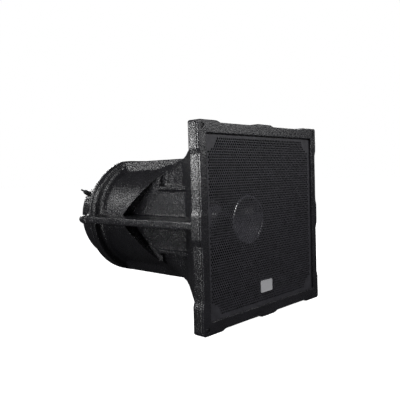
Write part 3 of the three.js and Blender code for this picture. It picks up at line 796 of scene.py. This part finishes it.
def high_frequency_horn():
    """A smooth flared horn with a rolled rim."""
    front, rear = depth("hf_horn")
    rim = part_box("hf_horn")[1].x
    throat = 19 * MM
    mouth = rim - 8 * MM
    steps = 24
    inside, outside = [], []
    for k in range(steps + 1):
        t = k / steps
        radius = throat * (mouth / throat) ** (1 - t)
        y = front + 6 * MM + (rear - front - 6 * MM) * t
        inside.append((radius, y))
        if 0 < k < steps - 1:
            outside.insert(0, (radius + 3 * MM, y))
    collar, seat = throat + 21 * MM, rear - 5 * MM
    flange = [(collar, rear), (collar, seat), (throat + 4.5 * MM, seat)]
    roll = []
    radius = 4.4 * MM
    for k in range(15):
        turn = math.radians(135 - 270 * k / 14)
        roll.append((rim - radius + radius * math.cos(turn), front + radius + radius * math.sin(turn)))
    piece = turned("smooth_hf_horn", inside + flange + outside + roll, 128)
    smooth_shading(piece, 40)
    return finish_piece(piece, CABINET, "gloss_black", "hf_horn")


high_frequency_horn()

# ------------------------------------------------------------------ rear cover

COVER_FRONT, COVER_END = depth("rear_cover")
COVER_FLANGE_REAR = 1.104 * S
COVER_BOLT_CIRCLE = 184 * MM
COVER_BOLT_COUNT = 8
EAR_BOLT_X = FIN_X - 15 * MM
EAR_BOLT_HOLE = 4.3 * MM
GASKET_BORE = 174 * MM

# The cable gland points straight out from the axis through the cover's wall.
GLAND_ANGLE = math.radians(152)
GLAND_Y = 1.2 * S
GLAND_WALL = 0.308 * S
GLAND_HOLE = 6.3 * MM

# Pairs of (radius, depth), in shares of S.
COVER_PROFILE = [
    (0.322, 1.104), (0.318, 1.115), (0.304, 1.235), (0.296, 1.263), (0.281, 1.283), (0.262, 1.29),
]


def cover_bolt_places():
    places = []
    for k in range(COVER_BOLT_COUNT):
        turn = (k + 0.5) * 2 * math.pi / COVER_BOLT_COUNT
        places.append((COVER_BOLT_CIRCLE * math.cos(turn), COVER_BOLT_CIRCLE * math.sin(turn)))
    return places


def rings_of(profile, sides=160):
    return [[at(x, y, z) for x, z in circle(radius, sides)] for radius, y in profile]


def rear_cover():
    """The domed cover with its flange, its two ears, and holes for the bolts and the gland."""
    dome = [(radius * S, y * S) for radius, y in COVER_PROFILE]
    cover = skin("moulded_rear_cover", rings_of([(0.322 * S, COVER_FRONT + MM), *dome]))
    join(cover, prism(ring_outline(), COVER_FRONT, COVER_FLANGE_REAR))
    for side in (1, -1):
        reach = sorted((side * 0.35 * S, side * EAR_BOLT_X))
        join(cover, block(reach, (COVER_FRONT, COVER_FLANGE_REAR), (-EAR_HALF, EAR_HALF)))
        join(cover, bar(EAR_HALF, COVER_FRONT, COVER_FLANGE_REAR, side * EAR_BOLT_X, sides=48))
    inner = [(radius * S - WALL, y * S - 0.75 * WALL) for radius, y in COVER_PROFILE[1:]]
    inner[-1] = (inner[-1][0], COVER_END - WALL)
    cut(cover, skin("tool", rings_of([(inner[0][0] + MM, COVER_FRONT - MM), *inner])))
    mould(cover, BODY_VOXEL, 3, BODY_LUMPS, 120000)
    for x, z in cover_bolt_places():
        cut(cover, bar(BOLT_HOLE, COVER_FRONT - MM, COVER_FLANGE_REAR + MM, x, z))
    for side in (1, -1):
        cut(cover, bar(EAR_BOLT_HOLE, COVER_FRONT - MM, COVER_FLANGE_REAR + MM, side * EAR_BOLT_X))
    through = [(GLAND_HOLE, GLAND_WALL - 30 * MM), (GLAND_HOLE, GLAND_WALL + 30 * MM)]
    cut(cover, revolve("tool", through, 48))
    smooth_shading(cover)
    return finish_piece(cover, CABINET, "fibreglass_black", "rear_cover")


def at_gland(u, out, w):
    """A point near the gland: out along its own axis, and u and w across it."""
    c, s = math.cos(GLAND_ANGLE), math.sin(GLAND_ANGLE)
    return at(c * out - s * w, GLAND_Y + u, s * out + c * w)


def revolve(name, profile, sides, flutes=0.0):
    """A solid of revolution about the gland's axis; flutes deepens every other facet."""
    rows = []
    for radius, out in profile:
        row = []
        for k, (u, w) in enumerate(circle(radius, sides)):
            scale = 1 - flutes if k % 4 > 1 else 1
            row.append(at_gland(u * scale, out, w * scale))
        rows.append(row)
    return skin(name, rows)


def cable_gland():
    """A threaded body with a hexagon, and a ribbed dome nut."""
    thread = []
    for k in range(24):
        crest = 5.9 * MM if k % 2 else 5.4 * MM
        thread.append((crest, GLAND_WALL - 16 * MM + k * 0.75 * MM))
    thread.append((5.9 * MM, GLAND_WALL + 8 * MM))
    piece = revolve("threaded_cable_gland", thread, 48)
    hexagon = [(9.1, 1.6), (9.5, 2.0), (9.5, 6.2), (9.0, 6.8)]
    join(piece, revolve("tool", [(r * MM, GLAND_WALL + out * MM) for r, out in hexagon], 6))
    nut = [(7.6, 6.6), (8.2, 7.2), (8.2, 19.0), (8.0, 20.4), (7.3, 23.4), (6.4, 25.6), (5.4, 26.9)]
    dome = [(r * MM, GLAND_WALL + out * MM) for r, out in nut]
    join(piece, revolve("tool", dome, 80, 0.05))
    bore = [(3.3 * MM, GLAND_WALL - 20 * MM), (3.3 * MM, GLAND_WALL + 40 * MM)]
    cut(piece, revolve("tool", bore, 32))
    smooth_shading(piece, 30)
    return finish_piece(piece, CABINET, "rubber_black", "cable_gland")


def supply_cable():
    """The round cable, with its cut end slightly domed."""
    middle = [(3, out) for out in range(-20, 40, 4)]
    steps = [(2.7, -24), (3, -23.4), *middle, (3, 39.4), (2.6, 40)]
    piece = revolve("supply_cable_sheath", [(r * MM, GLAND_WALL + out * MM) for r, out in steps], 32)
    smooth_shading(piece, 40)
    return finish_piece(piece, CABINET, "rubber_black", "supply_cable")


def cover_gasket():
    """The flat seal between the ring and the cover, just inside their edges."""
    front, rear = depth("cover_gasket")
    outline = [(0.998 * x, 0.998 * z) for x, z in ring_outline()]
    piece = prism(outline, front, rear, "cover_gasket_ring")
    cut(piece, bar(GASKET_BORE, front - MM, rear + MM, sides=160))
    for x, z in cover_bolt_places():
        cut(piece, bar(BOLT_HOLE, front - MM, rear + MM, x, z))
    smooth_shading(piece, 30)
    return finish_piece(piece, CABINET, "rubber_black", "cover_gasket")


rear_cover()
cable_gland()
supply_cable()
cover_gasket()

# ------------------------------------------------------------------- fasteners


def thread_rows(radius, y_from, y_to, pitch):
    """Rows of crests and roots for a shank that is threaded along its whole length."""
    count = int(abs(y_to - y_from) / pitch) * 2
    rows = []
    for k in range(count + 1):
        deep = 0.0 if k in (0, count) or k % 2 else 0.12
        rows.append((radius * (1 - deep), y_from + (y_to - y_from) * k / count))
    return rows


def rows_round(profile, sides, x, z):
    return [[at(px, y, pz) for px, pz in circle(radius, sides, x, z)] for radius, y in profile]


def node_axis(node):
    """The x and z of a node's middle, measured from the horn's axis."""
    low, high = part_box(node)
    return (low.x + high.x) / 2, (low.z + high.z) / 2 - AXIS_Z


def hexagon_head(radius, seat, top, x, z):
    """A six-sided head with the usual conical chamfer on its top."""
    head = skin("tool", rows_round([(radius, seat), (radius, top)], 6, x, z))
    rise = 0.3 * (top - seat)
    cone = [(1.1 * radius, seat), (1.1 * radius, top - rise), (0.84 * radius, top)]
    combine(head, [skin("tool", rows_round(cone, 48, x, z))], "INTERSECT")
    return head


def hexagon_bolt(node, head_radius, head_height, shank_radius, washer=0.0):
    """A bolt whose head is at its rear and whose threaded shank points forwards."""
    x, z = node_axis(node)
    tip, top = depth(node)
    seat = top - head_height
    shank = thread_rows(shank_radius, seat + 0.5 * MM, tip, 1.25 * MM)
    piece = skin(f"{node}_threaded", rows_round(shank, 24, x, z))
    join(piece, hexagon_head(head_radius, seat, top, x, z))
    if washer > 0:
        join(piece, bar(washer, seat - 2 * MM, seat, x, z, 40))
    smooth_shading(piece, 30)
    return finish_piece(piece, CABINET, "steel", node)


def frame_bolt(node):
    """A round-headed bolt with a hexagon socket; its shank points backwards."""
    x, z = node_axis(node)
    top, tip = depth(node)
    radius, height = 5.8 * MM, 3.4 * MM
    shank = thread_rows(3 * MM, top + height - 0.5 * MM, tip, 1.25 * MM)
    piece = skin(f"{node}_threaded", rows_round(shank, 24, x, z))
    dome = []
    for k in range(8):
        turn = k / 7 * math.pi / 2
        dome.append((radius * (0.6 + 0.4 * math.sin(turn)), top + 0.6 * height * (1 - math.cos(turn))))
    head = skin("tool", rows_round([*dome, (radius, top + height)], 40, x, z))
    cut(head, prism(circle(2.9 * MM, 6, x, z), top - MM, top + 0.6 * height))
    join(piece, head)
    smooth_shading(piece, 30)
    return finish_piece(piece, CABINET, "black_steel", node)


for number in range(1, 5):
    frame_bolt(f"frame_bolt_{number}")
for number in range(1, COVER_BOLT_COUNT + 1):
    hexagon_bolt(f"cover_bolt_{number}", 5.4 * MM, 4.2 * MM, 3 * MM)
for hand in ("right", "left"):
    hexagon_bolt(f"ear_bolt_{hand}", 8 * MM, 6.5 * MM, 4 * MM, 10 * MM)

# ------------------------------------------- the woofer's moving suspension


def bend_by_radius(piece, inner, outer):
    """The piece follows the cone inside the inner radius and the cabinet outside the outer one."""
    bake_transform(piece, CABINET, WOOFER, at(0, 0, 0), at(0, 0, 1))
    weights = piece.data.attributes["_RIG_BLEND"].data
    for vertex, weight in zip(piece.data.vertices, weights):
        radius = math.hypot(vertex.co.x, vertex.co.z - AXIS_Z)
        t = min(1.0, max(0.0, (outer - radius) / (outer - inner)))
        weight.value = t * t * (3 - 2 * t)


def suspension(name, centre_line, thickness, slot, node, inner, outer):
    """A thin turned sheet through the points of its centre line, (radius, y)."""
    half = thickness / 2
    rear = [(radius, y + half) for radius, y in centre_line]
    front = [(radius, y - half) for radius, y in reversed(centre_line)]
    piece = turned(name, rear + front, 144)
    smooth_shading(piece, 50)
    coat(piece, slot)
    bend_by_radius(piece, inner, outer)
    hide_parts(node)


def woofer_surround():
    """A half-round rubber roll with a flat lip on each side."""
    lip = depth("woofer_surround")[1] - 0.8 * MM
    roll, middle = 8.2 * MM, 159 * MM
    line = [(143 * MM, lip), (147 * MM, lip)]
    for k in range(25):
        turn = math.pi * k / 24
        line.append((middle - roll * math.cos(turn), lip - roll * math.sin(turn)))
    line += [(171 * MM, lip), (174 * MM, lip)]
    suspension("rolled_surround", line, 1.5 * MM, "rubber_black", "woofer_surround", 147 * MM, 170 * MM)


def woofer_spider():
    """The corrugated disc of cloth that centres the coil."""
    front, rear = depth("woofer_spider")
    inner, outer = 38.6 * MM, 77 * MM
    middle = (front + rear) / 2
    wave = (rear - front) / 2 - 0.8 * MM
    line = []
    for k in range(97):
        t = k / 96
        fade = min(1.0, 6 * t, 6 * (1 - t))
        line.append((inner + (outer - inner) * t, middle + wave * fade * math.sin(2 * math.pi * 7 * t)))
    suspension("corrugated_spider", line, 0.9 * MM, "felt", "woofer_spider", 44 * MM, 73 * MM)


woofer_surround()
woofer_spider()

# ---------------------------------------------------------------------- camera

camera = bpy.data.objects.new("camera", bpy.data.cameras.new("camera"))
bpy.context.scene.collection.objects.link(camera)
camera.location = (-2.1517 * S, FRONT_Y - 1.5771 * S, AXIS_Z + 0.2368 * S)
camera.rotation_euler = [math.radians(a) for a in (87.409, 1.694, -46.377)]
camera.data.sensor_width = 36
camera.data.lens = 45.63
camera.data.clip_end = 100
bpy.context.scene.camera = camera

# --------------------------------------------------------------- floor, lights


def for_camera_only(tree, seen, unseen):
    """A mix of two shaders: one that the camera sees, and one that lights the scene."""
    mix = tree.nodes.new("ShaderNodeMixShader")
    tree.links.new(tree.nodes.new("ShaderNodeLightPath").outputs["Is Camera Ray"], mix.inputs["Fac"])
    tree.links.new(unseen, mix.inputs[1])
    tree.links.new(seen, mix.inputs[2])
    return mix.outputs["Shader"]


def floor():
    """A pale floor that reflects little, so that it doesn't light the black body from below."""
    half = 30.0
    square = [(-half, -half, 0), (half, -half, 0), (half, half, 0), (-half, half, 0)]
    piece = mesh_object("floor", square, [(0, 1, 2, 3)])
    material = bpy.data.materials.new("pale_floor")
    material.use_nodes = True
    tree = material.node_tree
    pale = tree.nodes["Principled BSDF"]
    pale.inputs["Base Color"].default_value = (0.9, 0.9, 0.9, 1)
    pale.inputs["Roughness"].default_value = 0.9
    pale.inputs["Emission Color"].default_value = (1, 1, 1, 1)
    pale.inputs["Emission Strength"].default_value = 0.97
    dim = tree.nodes.new("ShaderNodeBsdfDiffuse")
    dim.inputs["Color"].default_value = (0.05, 0.05, 0.05, 1)
    output = tree.nodes["Material Output"]
    shown = for_camera_only(tree, pale.outputs["BSDF"], dim.outputs["BSDF"])
    tree.links.new(shown, output.inputs["Surface"])
    piece.data.materials.append(material)


floor()


def soft_light(name, place_at, target, size, power):
    lamp = bpy.data.lights.new(name, "AREA")
    lamp.shape = "RECTANGLE"
    lamp.size, lamp.size_y = size
    lamp.energy = power
    piece = bpy.data.objects.new(name, lamp)
    bpy.context.scene.collection.objects.link(piece)
    piece.location = place_at
    aim = Vector(target) - Vector(place_at)
    piece.rotation_euler = aim.to_track_quat("-Z", "Y").to_euler()
    return piece


def light_towards(name, target, direction, distance, size, power):
    """A soft light that stands in the given direction from its target, and points at it."""
    aim = Vector(direction).normalized()
    return soft_light(name, Vector(target) + aim * distance, target, size, power)


def middle_of(piece):
    return piece.matrix_world @ (sum((Vector(c) for c in piece.bound_box), Vector()) / 8)


def only_lights(lamp, *pieces):
    """The lamp lights these pieces alone, and only they cast shadows in its light."""
    lit = bpy.data.collections.new(f"{lamp.name}_lit")
    for piece in pieces:
        lit.objects.link(piece)
    lamp.light_linking.receiver_collection = lit
    lamp.light_linking.blocker_collection = lit


left_side = (-0.15, 0.3, AXIS_Z + 0.1)
face_top_left = (-0.2, FRONT_Y, AXIS_Z + 0.15)
light_towards("drum_light", (-0.12, 0.42, AXIS_Z + 0.06), (-0.53, 0.69, 0.4), 2.2, (0.45, 0.35), 9)
light_towards("flange_light", (-S / 2, 0, AXIS_Z + 0.16), (-0.7, 0.7, 0.1), 0.4, (0.04, 0.04), 0.8)
light_towards("panel_light", (-0.15, 0.2, AXIS_Z + 0.1), (-0.74, 0.66, 0.08), 2.0, (0.12, 0.12), 2.2)
light_towards("tongue_light", left_side, (-0.97, 0.2, 0.07), 2.0, (0.2, 0.2), 6)
light_towards("edge_light", (-0.2, 0.3, AXIS_Z), (-0.46, -0.31, 0.81), 2.0, (0.1, 0.1), 14)
light_towards("low_left_light", (-0.2, 0.35, AXIS_Z - 0.1), (-0.98, -0.12, -0.03), 2.0, (0.25, 0.15), 11)
light_towards("sheen_light", face_top_left, (0.72, -0.68, 0.26), 2.2, (0.7, 0.5), 6)
light_towards("top_front_light", (0, FRONT_Y, AXIS_Z), (-0.1, -0.85, 0.5), 2.2, (0.8, 0.6), 26)
light_towards("right_light", (S / 2, 0.3, AXIS_Z), (0.9, 0.25, 0.35), 2.4, (1.0, 1.0), 30)
rear_light = light_towards("rear_light", (0, 0.6, AXIS_Z), (0.25, 0.9, 0.35), 2.4, (1.0, 0.8), 40)
from_above = (-0.25, -0.81, 0.53)
rim_light = light_towards("horn_rim_light", (0, 0.05, AXIS_Z), from_above, 2.0, (0.7, 0.35), 220)
only_lights(rim_light, bpy.data.objects["smooth_hf_horn"])
rear_from = 0.6
rear_pieces = [p for p in bpy.data.objects if p.type == "MESH" and middle_of(p).y > rear_from]
only_lights(rear_light, *rear_pieces)


def studio():
    """A white world that the camera sees, and that adds only a little light of its own."""
    world = bpy.data.worlds.new("studio")
    world.use_nodes = True
    tree = world.node_tree
    backdrop = tree.nodes["Background"]
    backdrop.inputs["Color"].default_value = (1, 1, 1, 1)
    backdrop.inputs["Strength"].default_value = 1.0
    fill = tree.nodes.new("ShaderNodeBackground")
    fill.inputs["Color"].default_value = (1, 1, 1, 1)
    fill.inputs["Strength"].default_value = 0.05
    shown = for_camera_only(tree, backdrop.outputs["Background"], fill.outputs["Background"])
    tree.links.new(shown, tree.nodes["World Output"].inputs["Surface"])
    bpy.context.scene.world = world
    bpy.context.scene.view_settings.view_transform = "Standard"


studio()
